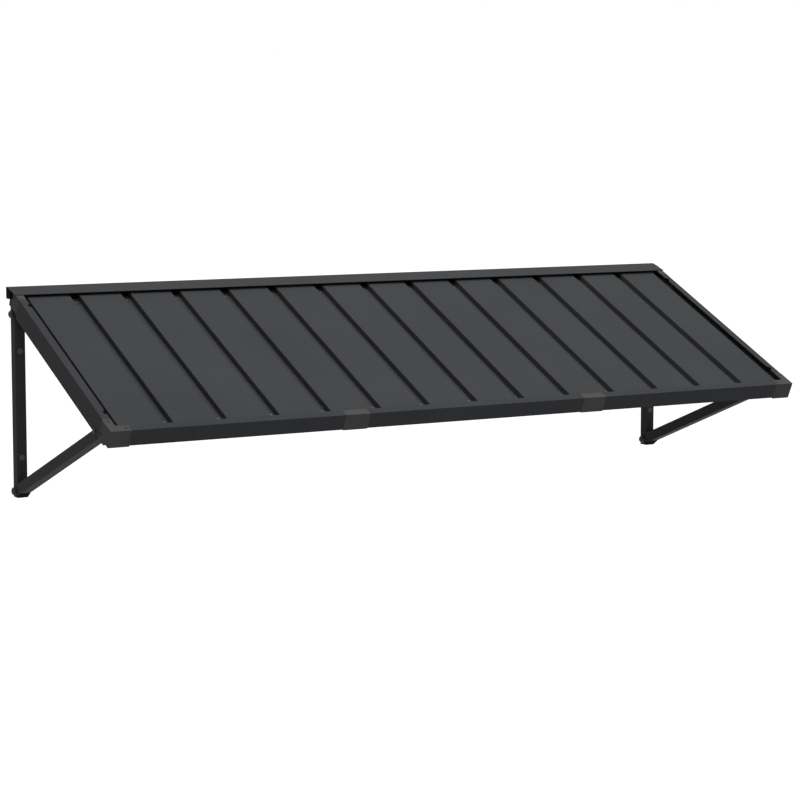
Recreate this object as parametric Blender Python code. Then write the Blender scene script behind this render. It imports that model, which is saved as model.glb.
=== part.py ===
"""Metal door canopy: fourteen folded roof panels in a frame, held to a wall by two posts and struts.

Sizes are in metres. X runs along the wall, the wall is the plane Y = 0 and the canopy reaches
towards -Y. The origin is the middle of the wall rail's back face. Left is -X.

Side views are drawn as (out, up): out is the distance from the wall and up is the height.
The roof has its own frame, (s, n): s runs down the slope from the wall and n stands square to it,
and n = 0 is the top of the roof panels. The struts have one too, (u, v): u runs up the strut's
middle line from the bolt at its foot, and v stands square to it.
"""

import math

import bmesh
import bpy

# Clearance between pieces that touch, and the extra length of a cutting shape past a face.
GAP = 0.0003
PAST = 0.002

# The whole roof.
WIDTH = 3.0
ROOF_SLOPE = math.radians(24.745)
FRONT_FACE = 1.0734
LIP_RISE = 0.0109
WALL = 0.002

# Roof panels: folded sheet, with a groove between each two.
PANEL_COUNT = 14
SHEET = 0.001
GROOVE_WIDTH = 0.0389
GROOVE_DEPTH = 0.0215
BEND_RADIUS = 0.0008
BEND_STEPS = 3
EDGE_SCREW_INSET = 0.02813
EDGE_FLANGE_PAST_SCREW = 0.006
LAP_SHORT = 0.002
PANEL_REAR = 0.062
PANEL_UNDER_LIP = 0.006

# Panel screws: a washer and a head on top of the flange, in rows near the wall and the front.
REAR_SCREW_ROW = 0.110
FRONT_SCREW_ROW_INSET = 0.0799
EDGE_SCREW_REAR_INSET = 0.050
EDGE_SCREW_FRONT_INSET = 0.045
PANEL_SCREW_RADIUS = 0.0024
PANEL_SCREW_LENGTH = 0.014
PANEL_SCREW_WASHER_RADIUS = 0.0065
PANEL_SCREW_WASHER = 0.0015
PANEL_SCREW_HEAD_RADIUS = 0.0046
PANEL_SCREW_HEAD = 0.004
PANEL_SCREW_SIDES = 10

# Wall rail: back plate, sloping cover and the ledge that the panels' rear ends are screwed to.
WALL_RAIL_HEIGHT = 0.043
WALL_RAIL_OVERHANG = 0.005
COVER_REACH = 0.0865
COVER_LIFT = 0.0135
WALL_LEDGE_REACH = 0.132
LEDGE_RETURN = 0.0055
FIXING_HOLE_RADIUS = 0.00425
FIXING_HOLE_COUNT = 6
FIXING_HOLE_PITCH = 0.5
FIXING_HOLE_DROP = 0.012
CAP_DEPTH = 0.045
CAP_DROP = 0.0016
CAP_THICKNESS = 0.0035
CAP_TONGUE = 0.012

# Front rail, in three lengths.
FRONT_RAIL_HEIGHT = 0.0627
FRONT_LIP_WIDTH = 0.0334
FRONT_LEDGE_WIDTH = 0.0984
FRONT_BOX_DEPTH = 0.0404
LEDGE_TONGUE = 0.024
BOX_TENON = 0.025

# Couplers between the lengths of the front rail.
COUPLER_CENTRE = 0.52525
COUPLER_LENGTH = 0.1025
COUPLER_DROP = 0.0030

# Side rails.
SIDE_RAIL_HEIGHT = 0.0828
SIDE_LIP_WIDTH = 0.0294
SIDE_RAIL_REAR = 0.118
SKIN = 0.0015
NOTCH_RADIUS = 0.013
NOTCH_DEPTH = 0.011
NOTCH_SIDES = 24

# Front corners.
CORNER_ACROSS = 0.079
CORNER_ALONG = 0.0834
CORNER_PROUD = 0.002
CORNER_CHAMFER = 0.009
CORNER_FRONT_DROP = 0.0045
CORNER_SIDE_LIFT = 0.0029
CORNER_STEP = 0.0404
CORNER_STEP_RUN = 0.020
BLADE_TENON = 0.025
CORNER_SCREW_RADIUS = 0.002
CORNER_SCREW_HEAD_RADIUS = 0.0085
CORNER_SCREW_CROWN_RADIUS = 0.006
CORNER_SCREW_HEAD = 0.0022
BOSS_RADIUS = 0.004
SIDE_SCREW_INSET = 0.017
SIDE_SCREW_ALONG = 0.0704
FRONT_SCREW_ACROSS = 0.065
FRONT_SCREW_BACK = 0.0219
POCKET_FAR = 0.073
POCKET_NEAR = 0.047
POCKET_TOP = 0.0389
POCKET_BOTTOM = 0.0529
POCKET_DEPTH = 0.0015
PIN_HOLE_ALONG = 0.0075
PIN_HOLE_DROP = 0.0545
PIN_HOLE_RADIUS = 0.006
PIN_HOLE_DEPTH = 0.006
CORNER_HOLE_DEPTH = 0.014

# Rear corners.
REAR_CORNER_BACK = 0.033
REAR_CORNER_DROP = 0.0679
REAR_TENON = 0.030
POST_TONGUE = 0.040

# Posts and struts: rectangular tubes of one width.
TUBE_WIDTH = 0.041
TUBE_WALL = 0.002
TUBE_INSET = 0.0079
POST_DEPTH = 0.0405
POST_TOP = 0.0705
POST_PAST_BOLT = 0.0207
POST_BOLT_DROP = 0.0115
PLUG_INSET = 0.151
STRUT_DEPTH = 0.0413
STRUT_TIP_SHORT = 0.012
STRUT_TIP_CLEAR = 0.0006
FOOT_BOLT_DOWN = 0.7593
RAIL_BOLT_INSET = 0.042
RAIL_BOLT_LIFT = 0.0104
RAIL_BOLT_OFFSET = 0.0088

# Strut feet.
FOOT_SOLE = 0.003
FOOT_TENON = 0.045
FOOT_SOLE_PAST_POST = 0.0015
FOOT_TOE_REACH = 0.030
FOOT_TOE = 0.0015

# Bolts, nuts, washers and the plugs in the posts.
BOLT_RADIUS = 0.004
FLANGE_RADIUS = 0.012
FLANGE = 0.003
HEXAGON_RADIUS = 0.0085
NUT_TOP = 0.010
BOLT_PAST_NUT = 0.006
KNOB_RADIUS = 0.016
KNOB_SHOULDER = 0.003
POST_KNOB_TOP = 0.016
FOOT_KNOB_TOP = 0.013
CAP_NUT_TOP = 0.020
CAP_NUT_BORE = 0.015
BOLT_SHORT_OF_BORE = 0.001
BUTTON_RADIUS = 0.0085
BUTTON_SHOULDER = 0.0015
BUTTON_TOP = 0.006
DOME_STEPS = 5
DOME_END = math.radians(80)
FOOT_WASHER_RADIUS = 0.0172
RAIL_WASHER_RADIUS = 0.010
WASHER = 0.0025
PLUG_RADIUS = 0.0116
PLUG_FLANGE = 0.0014
PLUG_STEM_RADIUS = 0.0095
PLUG_STEM = 0.008
ROUND_SIDES = 12
LARGE_ROUND_SIDES = 20

# Levels above and below the panels' tops, and places along the slope and the wall.
LIP_TOP = LIP_RISE
LIP_UNDER = LIP_RISE - WALL
FLANGE_TOP = -GROOVE_DEPTH
LAP_TOP = FLANGE_TOP - SHEET - GAP
LEDGE_TOP = LAP_TOP - SHEET - GAP
LEDGE_UNDER = LEDGE_TOP - WALL
FLOOR_TOP = LEDGE_UNDER - GAP
SIDE_BOTTOM = LIP_TOP - SIDE_RAIL_HEIGHT
FRONT_BOTTOM = LIP_TOP - FRONT_RAIL_HEIGHT
ROOF_LINE = WALL_RAIL_HEIGHT / 2 - WALL
HALF = WIDTH / 2
LIP_EDGE = HALF - SIDE_LIP_WIDTH
FRONT_LIP_EDGE = FRONT_FACE - FRONT_LIP_WIDTH
SIDE_RAIL_FRONT = FRONT_FACE - CORNER_ALONG
PANEL_FRONT = FRONT_LIP_EDGE + PANEL_UNDER_LIP
FRONT_SCREW_ROW = FRONT_FACE - FRONT_SCREW_ROW_INSET
EDGE_SCREW_ROWS = (SIDE_RAIL_REAR + EDGE_SCREW_REAR_INSET, SIDE_RAIL_FRONT - EDGE_SCREW_FRONT_INSET)
EDGE_SCREW_X = HALF - EDGE_SCREW_INSET
PITCH = 2 * EDGE_SCREW_X / PANEL_COUNT
TUBE_OUT = HALF - TUBE_INSET
TUBE_IN = TUBE_OUT - TUBE_WIDTH
TUBE_MIDDLE = TUBE_OUT - TUBE_WIDTH / 2
SKIN_IN = TUBE_OUT + GAP
SKIN_OUT = SKIN_IN + SKIN
RAIL_IN = TUBE_IN - GAP - WALL
CORNER_IN = HALF - CORNER_ACROSS
WALL_RAIL_END = HALF + WALL_RAIL_OVERHANG
POST_BOTTOM = -FOOT_BOLT_DOWN - POST_PAST_BOLT
BOLT_OUT = POST_DEPTH / 2
CORNER_OUT = HALF + CORNER_PROUD
BORE = BOLT_RADIUS + GAP

for old in list(bpy.data.objects):
    bpy.data.objects.remove(old, do_unlink=True)


def to_roof(out, up):
    """A side view point (out, up) as (s, n)."""
    rise = up - ROOF_LINE
    s = math.cos(ROOF_SLOPE) * out - math.sin(ROOF_SLOPE) * rise
    n = math.sin(ROOF_SLOPE) * out + math.cos(ROOF_SLOPE) * rise
    return s, n


def from_roof(s, n):
    """A roof point (s, n) as (out, up)."""
    out = math.cos(ROOF_SLOPE) * s + math.sin(ROOF_SLOPE) * n
    up = ROOF_LINE - math.sin(ROOF_SLOPE) * s + math.cos(ROOF_SLOPE) * n
    return out, up


def roof_at_out(n, out):
    """The point at height n over the roof plane and at a distance out from the wall."""
    s = (out - math.sin(ROOF_SLOPE) * n) / math.cos(ROOF_SLOPE)
    return from_roof(s, n)


def roof_at_up(n, up):
    """The point at height n over the roof plane and at the height up."""
    s = (ROOF_LINE - up + math.cos(ROOF_SLOPE) * n) / math.sin(ROOF_SLOPE)
    return from_roof(s, n)


# The strut's middle line starts at the foot bolt and passes below the bolt through the side rail.
RAIL_BOLT = (SIDE_RAIL_FRONT - RAIL_BOLT_INSET, SIDE_BOTTOM + RAIL_BOLT_LIFT)
rail_bolt_out, rail_bolt_up = from_roof(*RAIL_BOLT)
BOLT_RUN = rail_bolt_out - BOLT_OUT
BOLT_CLIMB = rail_bolt_up + FOOT_BOLT_DOWN
BOLT_SPAN = math.hypot(BOLT_RUN, BOLT_CLIMB)
STRUT_SLOPE = math.atan2(BOLT_CLIMB, BOLT_RUN) - math.asin(RAIL_BOLT_OFFSET / BOLT_SPAN)


def to_strut(out, up):
    """A side view point (out, up) as (u, v)."""
    run = out - BOLT_OUT
    climb = up + FOOT_BOLT_DOWN
    u = math.cos(STRUT_SLOPE) * run + math.sin(STRUT_SLOPE) * climb
    v = -math.sin(STRUT_SLOPE) * run + math.cos(STRUT_SLOPE) * climb
    return u, v


def from_strut(u, v):
    """A strut point (u, v) as (out, up)."""
    out = BOLT_OUT + math.cos(STRUT_SLOPE) * u - math.sin(STRUT_SLOPE) * v
    up = -FOOT_BOLT_DOWN + math.sin(STRUT_SLOPE) * u + math.cos(STRUT_SLOPE) * v
    return out, up


def crossing(a, b, c, d):
    """Where the line through a and b meets the line through c and d."""
    ab = (b[0] - a[0], b[1] - a[1])
    cd = (d[0] - c[0], d[1] - c[1])
    spread = ab[0] * cd[1] - ab[1] * cd[0]
    reach = ((c[0] - a[0]) * cd[1] - (c[1] - a[1]) * cd[0]) / spread
    return a[0] + ab[0] * reach, a[1] + ab[1] * reach


def empty(name, out, up, turn):
    """A frame of reference, turned about X."""
    frame = bpy.data.objects.new(name, None)
    frame.location = (0, -out, up)
    frame.rotation_euler = (turn, 0, 0)
    bpy.context.scene.collection.objects.link(frame)
    return frame


wall_frame = empty("wall_frame", 0, 0, 0)
roof_frame = empty("roof_frame", 0, ROOF_LINE, ROOF_SLOPE)
strut_frame = empty("strut_frame", BOLT_OUT, -FOOT_BOLT_DOWN, -STRUT_SLOPE)


def prism(outline, place, low, high):
    """The vertices and faces of an outline drawn out from low to high."""
    count = len(outline)
    verts = [place(p, q, low) for p, q in outline] + [place(p, q, high) for p, q in outline]
    faces = [list(range(count)), list(range(count, 2 * count))]
    for i in range(count):
        j = (i + 1) % count
        faces.append([i, j, count + j, count + i])
    return verts, faces


def across(outline, x0, x1):
    """A side view outline drawn out along X."""
    return prism(outline, lambda out, up, x: (x, -out, up), x0, x1)


def along(outline, out0, out1):
    """An outline in (x, up) drawn out away from the wall."""
    return prism(outline, lambda x, up, out: (x, -out, up), out0, out1)


def upright(outline, up0, up1):
    """An outline in (x, out) drawn upwards."""
    return prism(outline, lambda x, out, up: (x, -out, up), up0, up1)


def box(a0, a1, b0, b1):
    """A rectangle's outline."""
    return [(a0, b0), (a1, b0), (a1, b1), (a0, b1)]


def circle(a, b, radius, sides):
    """A circle's outline."""
    points = []
    for i in range(sides):
        turn = 2 * math.pi * i / sides
        points.append((a + radius * math.cos(turn), b + radius * math.sin(turn)))
    return points


def stack(rings, place, sides, closed):
    """Rings of (radius, height, flats) joined in turn; closed rings run back to the first one.

    With flats, a ring is a hexagon whose corners lie at that radius.
    """
    verts = []
    faces = []
    for radius, height, flats in rings:
        for i in range(sides):
            turn = 2 * math.pi * i / sides
            pull = 1.0
            if flats:
                off_flat = (turn + math.pi / 6) % (math.pi / 3) - math.pi / 6
                pull = math.cos(math.pi / 6) / math.cos(off_flat)
            side = radius * pull * math.cos(turn)
            rise = radius * pull * math.sin(turn)
            verts.append(place(side, rise, height))
    pairs = list(zip(range(len(rings) - 1), range(1, len(rings))))
    if closed:
        pairs.append((len(rings) - 1, 0))
    for low, high in pairs:
        for i in range(sides):
            j = (i + 1) % sides
            faces.append([low * sides + i, low * sides + j, high * sides + j, high * sides + i])
    if not closed:
        faces.append(list(range(sides)))
        last = (len(rings) - 1) * sides
        faces.append(list(range(last, last + sides)))
    return verts, faces


def merged(shapes):
    """Several separate shapes as one."""
    verts = []
    faces = []
    for more_verts, more_faces in shapes:
        first = len(verts)
        verts += more_verts
        faces += [[first + i for i in face] for face in more_faces]
    return verts, faces


def sided(shape, side):
    """A shape drawn for the right, or mirrored for the left when side is -1."""
    verts, faces = shape
    return [(side * x, y, z) for x, y, z in verts], faces


def mesh_object(name, shape, frame):
    """An object with its faces turned outwards, placed in a frame."""
    verts, faces = shape
    mesh = bpy.data.meshes.new(name)
    mesh.from_pydata(verts, [], faces)
    bm = bmesh.new()
    bm.from_mesh(mesh)
    bmesh.ops.recalc_face_normals(bm, faces=bm.faces)
    bm.to_mesh(mesh)
    bm.free()
    obj = bpy.data.objects.new(name, mesh)
    obj.parent = frame
    bpy.context.scene.collection.objects.link(obj)
    return obj


def finish(obj, colour, roughness, metallic):
    """Gives an object its own Principled material."""
    material = bpy.data.materials.new(obj.name + "_finish")
    material.use_nodes = True
    shader = material.node_tree.nodes["Principled BSDF"]
    shader.inputs["Base Color"].default_value = (*colour, 1.0)
    shader.inputs["Roughness"].default_value = roughness
    shader.inputs["Metallic"].default_value = metallic
    obj.data.materials.append(material)


def powder_coat(obj):
    """Dark grey powder coating."""
    finish(obj, (0.035, 0.036, 0.038), 0.5, 0.0)


def frame_plastic(obj):
    """Moulded plastic, a shade warmer than the coated metal."""
    finish(obj, (0.045, 0.045, 0.041), 0.55, 0.0)


def black_plastic(obj):
    """Black moulded plastic."""
    finish(obj, (0.01, 0.01, 0.011), 0.5, 0.0)


def coated_steel(obj):
    """Dark coated fastener steel."""
    finish(obj, (0.06, 0.06, 0.062), 0.4, 0.4)


def smooth(obj):
    """Round faces shaded smooth, with sharp edges kept."""
    obj.data.shade_smooth()
    obj.data.set_sharp_from_angle(angle=math.radians(35))


def tool(target, operation, shape, frame):
    """Joins a shape to an object or takes it away."""
    helper = mesh_object(f"{target.name}_shape_{len(target.modifiers)}", shape, frame)
    helper.hide_render = True
    helper.display_type = "WIRE"
    step = target.modifiers.new(helper.name, "BOOLEAN")
    step.operation = operation
    step.solver = "EXACT"
    step.object = helper


def fuse(target, shape, frame=roof_frame):
    """Joins a shape to an object."""
    tool(target, "UNION", shape, frame)


def cut(target, shape, frame=roof_frame):
    """Takes a shape away from an object."""
    tool(target, "DIFFERENCE", shape, frame)


SIDES = (("left", -1), ("right", 1))


def groove_x(i):
    """The middle of groove i; groove 0 lies under the left side rail's lip."""
    return -EDGE_SCREW_X + i * PITCH


def screw_holes(places, radius, n0, n1):
    """Round shapes square to the roof, at places given as (x, s)."""
    return merged([upright(circle(x, s, radius, PANEL_SCREW_SIDES), n0, n1) for x, s in places])


# Wall rail: one extrusion with a back plate, a sloping cover over the panels' rear ends, a ledge
# under them and a closed chamber between the ledge and the plate's foot.
cover_top = (0, WALL_RAIL_HEIGHT / 2)
cover_tip = from_roof(COVER_REACH, COVER_LIFT)
cover_length = math.dist(cover_top, cover_tip)
cover_down = (
    (cover_tip[1] - cover_top[1]) / cover_length,
    (cover_top[0] - cover_tip[0]) / cover_length,
)


def below_cover(depth):
    """Two points of the line that runs under the cover's top face at a depth."""
    first = (cover_top[0] + depth * cover_down[0], cover_top[1] + depth * cover_down[1])
    last = (cover_tip[0] + depth * cover_down[0], cover_tip[1] + depth * cover_down[1])
    return first, last


wall_foot = -WALL_RAIL_HEIGHT / 2
plate_face = ((WALL, 0), (WALL, 1))
cover_under = below_cover(WALL)
wall_profile = [
    (0, wall_foot),
    cover_top,
    cover_tip,
    cover_under[1],
    crossing(*cover_under, *plate_face),
    roof_at_out(LEDGE_TOP, WALL),
    from_roof(WALL_LEDGE_REACH, LEDGE_TOP),
    from_roof(WALL_LEDGE_REACH, LEDGE_UNDER - LEDGE_RETURN),
    from_roof(WALL_LEDGE_REACH - WALL, LEDGE_UNDER - LEDGE_RETURN),
    from_roof(WALL_LEDGE_REACH - WALL, LEDGE_UNDER),
    roof_at_up(LEDGE_UNDER, wall_foot),
]
wall_chamber = [
    (WALL, wall_foot + WALL),
    roof_at_out(LEDGE_UNDER, WALL),
    roof_at_up(LEDGE_UNDER, wall_foot + WALL),
]
wall_rail = mesh_object("wall_rail", across(wall_profile, -WALL_RAIL_END, WALL_RAIL_END), wall_frame)
powder_coat(wall_rail)
cut(wall_rail, across(wall_chamber, -WALL_RAIL_END - PAST, WALL_RAIL_END + PAST), wall_frame)
fixing_holes = []
for i in range(FIXING_HOLE_COUNT):
    hole_x = (i - (FIXING_HOLE_COUNT - 1) / 2) * FIXING_HOLE_PITCH
    hole_up = WALL_RAIL_HEIGHT / 2 - FIXING_HOLE_DROP
    hole = circle(hole_x, hole_up, FIXING_HOLE_RADIUS, ROUND_SIDES)
    fixing_holes.append(along(hole, -PAST, WALL + PAST))
cut(wall_rail, merged(fixing_holes), wall_frame)
rear_holes = [(groove_x(i), REAR_SCREW_ROW) for i in range(1, PANEL_COUNT)]
hole_low = LEDGE_UNDER - PAST
hole_high = LEDGE_TOP + PAST
SCREW_BORE = PANEL_SCREW_RADIUS + GAP
cut(wall_rail, screw_holes(rear_holes, SCREW_BORE, hole_low, hole_high))
# Past the side rails the ledge ends at the plate's foot, to clear the rear corners.
ledge_end = roof_at_up(LEDGE_UNDER, wall_foot)[0] + GAP
ledge_tip_up = from_roof(WALL_LEDGE_REACH, LEDGE_UNDER - LEDGE_RETURN)[1]
ledge_cutoff = box(ledge_end, WALL_LEDGE_REACH, ledge_tip_up - PAST, wall_foot + GAP)
for side_name, side in SIDES:
    past_end = across(ledge_cutoff, RAIL_IN - GAP, WALL_RAIL_END + PAST)
    cut(wall_rail, sided(past_end, side), wall_frame)

# End caps of the wall rail: a plate with a tongue in the chamber.
cap_front = ((CAP_DEPTH, 0), (CAP_DEPTH, 1))
cap_outline = [
    (0, wall_foot - CAP_DROP),
    cover_top,
    crossing(cover_top, cover_tip, *cap_front),
    (CAP_DEPTH, wall_foot - CAP_DROP),
]
tongue_outline = [
    (WALL + GAP, wall_foot + WALL + GAP),
    roof_at_out(LEDGE_UNDER - GAP, WALL + GAP),
    roof_at_up(LEDGE_UNDER - GAP, wall_foot + WALL + GAP),
]
for side_name, side in SIDES:
    cap_x = WALL_RAIL_END + GAP
    cap_shape = sided(across(cap_outline, cap_x, cap_x + CAP_THICKNESS), side)
    cap = mesh_object("wall_rail_cap_" + side_name, cap_shape, wall_frame)
    black_plastic(cap)
    fuse(cap, sided(across(tongue_outline, cap_x - CAP_TONGUE, cap_x + GAP), side), wall_frame)


def folded(path, thickness, radius, steps):
    """The outline of a sheet bent along a path of its middle line, with round bends."""
    middle = radius + thickness / 2
    upper = []
    lower = []
    for i, (x, n) in enumerate(path):
        before = path[max(i - 1, 0)]
        after = path[min(i + 1, len(path) - 1)]
        start = math.atan2(n - before[1], x - before[0])
        end = math.atan2(after[1] - n, after[0] - x)
        if i == 0:
            start = end
        if i == len(path) - 1:
            end = start
        turn = end - start
        if abs(turn) < 1e-9:
            turns = [start]
            centre_x = x
            centre_n = n
            swing = 0.0
        else:
            turns = [start + turn * k / steps for k in range(steps + 1)]
            swing = math.copysign(middle, turn)
            setback = middle * math.tan(abs(turn) / 2)
            centre_x = x - setback * math.cos(start) - swing * math.sin(start)
            centre_n = n - setback * math.sin(start) + swing * math.cos(start)
        for heading in turns:
            point_x = centre_x + swing * math.sin(heading)
            point_n = centre_n - swing * math.cos(heading)
            side_x = -math.sin(heading) * thickness / 2
            side_n = math.cos(heading) * thickness / 2
            upper.append((point_x + side_x, point_n + side_n))
            lower.append((point_x - side_x, point_n - side_n))
    return upper + lower[::-1]


def panel_screw(x, s, seat):
    """A washer headed screw that stands on a flange whose top is at seat."""
    sunk = SHEET / 4
    head_base = seat + PANEL_SCREW_WASHER
    rings = [
        (PANEL_SCREW_RADIUS, seat - PANEL_SCREW_LENGTH, False),
        (PANEL_SCREW_RADIUS, seat - sunk, False),
        (PANEL_SCREW_WASHER_RADIUS, seat - sunk, False),
        (PANEL_SCREW_WASHER_RADIUS, head_base, False),
        (PANEL_SCREW_HEAD_RADIUS, head_base, False),
        (PANEL_SCREW_HEAD_RADIUS, head_base + PANEL_SCREW_HEAD, False),
    ]
    return stack(rings, lambda a, b, h: (x + a, b - s, h), PANEL_SCREW_SIDES, False)


# Roof panels. The left flange runs under the flange of the panel on its left, and the right one
# lies over that of the panel on its right. The screws are one solid with the panel whose flange
# they stand on. The outer flanges run under the side rails' lips and rest on their ledges.
inner_rows = (REAR_SCREW_ROW, FRONT_SCREW_ROW)
for i in range(PANEL_COUNT):
    first_panel = i == 0
    last_panel = i == PANEL_COUNT - 1
    left_wall = groove_x(i) + GROOVE_WIDTH / 2 + SHEET / 2
    right_wall = groove_x(i + 1) - GROOVE_WIDTH / 2 - SHEET / 2
    left_end = groove_x(i) - GROOVE_WIDTH / 2 + LAP_SHORT
    right_end = groove_x(i + 1) + GROOVE_WIDTH / 2 - BEND_RADIUS - GAP
    right_top = FLANGE_TOP
    if first_panel:
        left_end = groove_x(i) - EDGE_FLANGE_PAST_SCREW
    if last_panel:
        right_end = groove_x(i + 1) + EDGE_FLANGE_PAST_SCREW
        right_top = LAP_TOP
    lap_middle = LAP_TOP - SHEET / 2
    panel_path = [
        (left_end, lap_middle),
        (left_wall, lap_middle),
        (left_wall, -SHEET / 2),
        (right_wall, -SHEET / 2),
        (right_wall, right_top - SHEET / 2),
        (right_end, right_top - SHEET / 2),
    ]
    panel_outline = folded(panel_path, SHEET, BEND_RADIUS, BEND_STEPS)
    panel_name = f"roof_panel_{i + 1:02d}"
    panel = mesh_object(panel_name, along(panel_outline, PANEL_REAR, PANEL_FRONT), roof_frame)
    powder_coat(panel)
    right_rows = EDGE_SCREW_ROWS if last_panel else inner_rows
    screws = [panel_screw(groove_x(i + 1), s, right_top) for s in right_rows]
    if first_panel:
        screws += [panel_screw(groove_x(0), s, LAP_TOP) for s in EDGE_SCREW_ROWS]
    else:
        lap_holes = [(groove_x(i), s) for s in inner_rows]
        cut(panel, screw_holes(lap_holes, SCREW_BORE, LEDGE_TOP - PAST, FLANGE_TOP))
    fuse(panel, merged(screws))

# Front rail lengths: a face with a lip over the panels' ends, a ledge under them and a closed box
# along the bottom. Only the ledge runs on into the couplers and corners.
box_back = FRONT_FACE - FRONT_BOX_DEPTH
ledge_back = FRONT_FACE - FRONT_LEDGE_WIDTH
face_back = FRONT_FACE - WALL
front_profile = [
    (FRONT_FACE, LIP_TOP),
    (FRONT_LIP_EDGE, LIP_TOP),
    (FRONT_LIP_EDGE, LIP_UNDER),
    (face_back, LIP_UNDER),
    (face_back, LEDGE_TOP),
    (ledge_back, LEDGE_TOP),
    (ledge_back, LEDGE_UNDER - LEDGE_RETURN),
    (ledge_back + WALL, LEDGE_UNDER - LEDGE_RETURN),
    (ledge_back + WALL, LEDGE_UNDER),
    (box_back, LEDGE_UNDER),
    (box_back, FRONT_BOTTOM),
    (FRONT_FACE, FRONT_BOTTOM),
]
front_chamber = box(box_back + WALL, face_back, FRONT_BOTTOM + WALL, LEDGE_UNDER)
front_tongue = box(ledge_back, face_back - GAP, LEDGE_UNDER, LEDGE_TOP)
coupler_in = COUPLER_CENTRE - COUPLER_LENGTH / 2
coupler_out = COUPLER_CENTRE + COUPLER_LENGTH / 2
front_lengths = (
    ("front_rail_left", -CORNER_IN, -coupler_out),
    ("front_rail_middle", -coupler_in, coupler_in),
    ("front_rail_right", coupler_out, CORNER_IN),
)
for rail_name, x0, x1 in front_lengths:
    rail = mesh_object(rail_name, across(front_profile, x0, x1), roof_frame)
    powder_coat(rail)
    cut(rail, across(front_chamber, x0 - PAST, x1 + PAST))
    fuse(rail, across(front_tongue, x0 - LEDGE_TONGUE, x1 + LEDGE_TONGUE))
    inside = [groove_x(i) for i in range(1, PANEL_COUNT) if x0 < groove_x(i) < x1]
    front_holes = [(x, FRONT_SCREW_ROW) for x in inside]
    cut(rail, screw_holes(front_holes, SCREW_BORE, hole_low, hole_high))

# Couplers: mouldings flush with the front rail's face and lip, with a tenon in each rail's box.
moulding_profile = [
    (FRONT_FACE, LIP_TOP),
    (FRONT_LIP_EDGE, LIP_TOP),
    (FRONT_LIP_EDGE, LIP_UNDER),
    (face_back, LIP_UNDER),
    (face_back, FLOOR_TOP),
    (box_back, FLOOR_TOP),
]
coupler_profile = moulding_profile + [
    (box_back, FRONT_BOTTOM - COUPLER_DROP),
    (FRONT_FACE, FRONT_BOTTOM - COUPLER_DROP),
]
box_tenon = box(box_back + WALL + GAP, face_back - GAP, FRONT_BOTTOM + WALL + GAP, FLOOR_TOP)
for side_name, side in SIDES:
    coupler_shape = sided(across(coupler_profile, coupler_in + GAP, coupler_out - GAP), side)
    coupler = mesh_object("coupler_" + side_name, coupler_shape, roof_frame)
    frame_plastic(coupler)
    fuse(coupler, sided(across(box_tenon, coupler_in - BOX_TENON, coupler_out + BOX_TENON), side))

# Side rails: an outer face with a lip over the roof's edge, a ledge, and below it a channel open
# downwards, which the strut's top end stands in. The outer wall is a closed chamber.
side_profile = [
    (HALF, LIP_TOP),
    (LIP_EDGE, LIP_TOP),
    (LIP_EDGE, LIP_UNDER),
    (HALF - WALL, LIP_UNDER),
    (HALF - WALL, LEDGE_TOP),
    (RAIL_IN, LEDGE_TOP),
    (RAIL_IN, SIDE_BOTTOM),
    (RAIL_IN + WALL, SIDE_BOTTOM),
    (RAIL_IN + WALL, LEDGE_UNDER),
    (SKIN_IN, LEDGE_UNDER),
    (SKIN_IN, SIDE_BOTTOM),
    (HALF, SIDE_BOTTOM),
]
side_chamber = box(SKIN_OUT, HALF - WALL, SIDE_BOTTOM + SKIN, LEDGE_UNDER)
side_tongue = box(RAIL_IN, HALF - WALL - GAP, LEDGE_UNDER, LEDGE_TOP)
side_screw_x = HALF - SIDE_SCREW_INSET
side_screw_s = FRONT_FACE - SIDE_SCREW_ALONG
front_screw_x = HALF - FRONT_SCREW_ACROSS
front_screw_s = FRONT_FACE - FRONT_SCREW_BACK
corner_screws = ((side_screw_x, side_screw_s), (front_screw_x, front_screw_s))
CORNER_BORE = CORNER_SCREW_RADIUS + GAP
for side_name, side in SIDES:
    side_shape = along(side_profile, SIDE_RAIL_REAR, SIDE_RAIL_FRONT)
    rail = mesh_object("side_rail_" + side_name, sided(side_shape, side), roof_frame)
    powder_coat(rail)
    cut(rail, sided(along(side_chamber, SIDE_RAIL_REAR - PAST, SIDE_RAIL_FRONT + PAST), side))
    tongue_shape = along(side_tongue, SIDE_RAIL_REAR - LEDGE_TONGUE, SIDE_RAIL_FRONT + LEDGE_TONGUE)
    fuse(rail, sided(tongue_shape, side))
    notch_x = LIP_EDGE + NOTCH_DEPTH - NOTCH_RADIUS
    notches = []
    for s in EDGE_SCREW_ROWS:
        notch = circle(notch_x, s, NOTCH_RADIUS, NOTCH_SIDES)
        notches.append(upright(notch, LIP_UNDER - PAST, LIP_TOP + PAST))
    cut(rail, sided(merged(notches), side))
    ledge_holes = [(EDGE_SCREW_X, s) for s in EDGE_SCREW_ROWS]
    cut(rail, sided(screw_holes(ledge_holes, SCREW_BORE, hole_low, hole_high), side))
    cut(rail, sided(screw_holes([corner_screws[0]], CORNER_BORE, hole_low, hole_high), side))
    bolt_hole = across(circle(*RAIL_BOLT, BORE, ROUND_SIDES), RAIL_IN - PAST, HALF + PAST)
    cut(rail, sided(bolt_hole, side))

# The front rails' ledges have a hole for the corner's front screw, in the tongue under the corner.
for side_name, side in SIDES:
    rail = bpy.data.objects["front_rail_" + side_name]
    cut(rail, sided(screw_holes([corner_screws[1]], CORNER_BORE, hole_low, hole_high), side))

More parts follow.
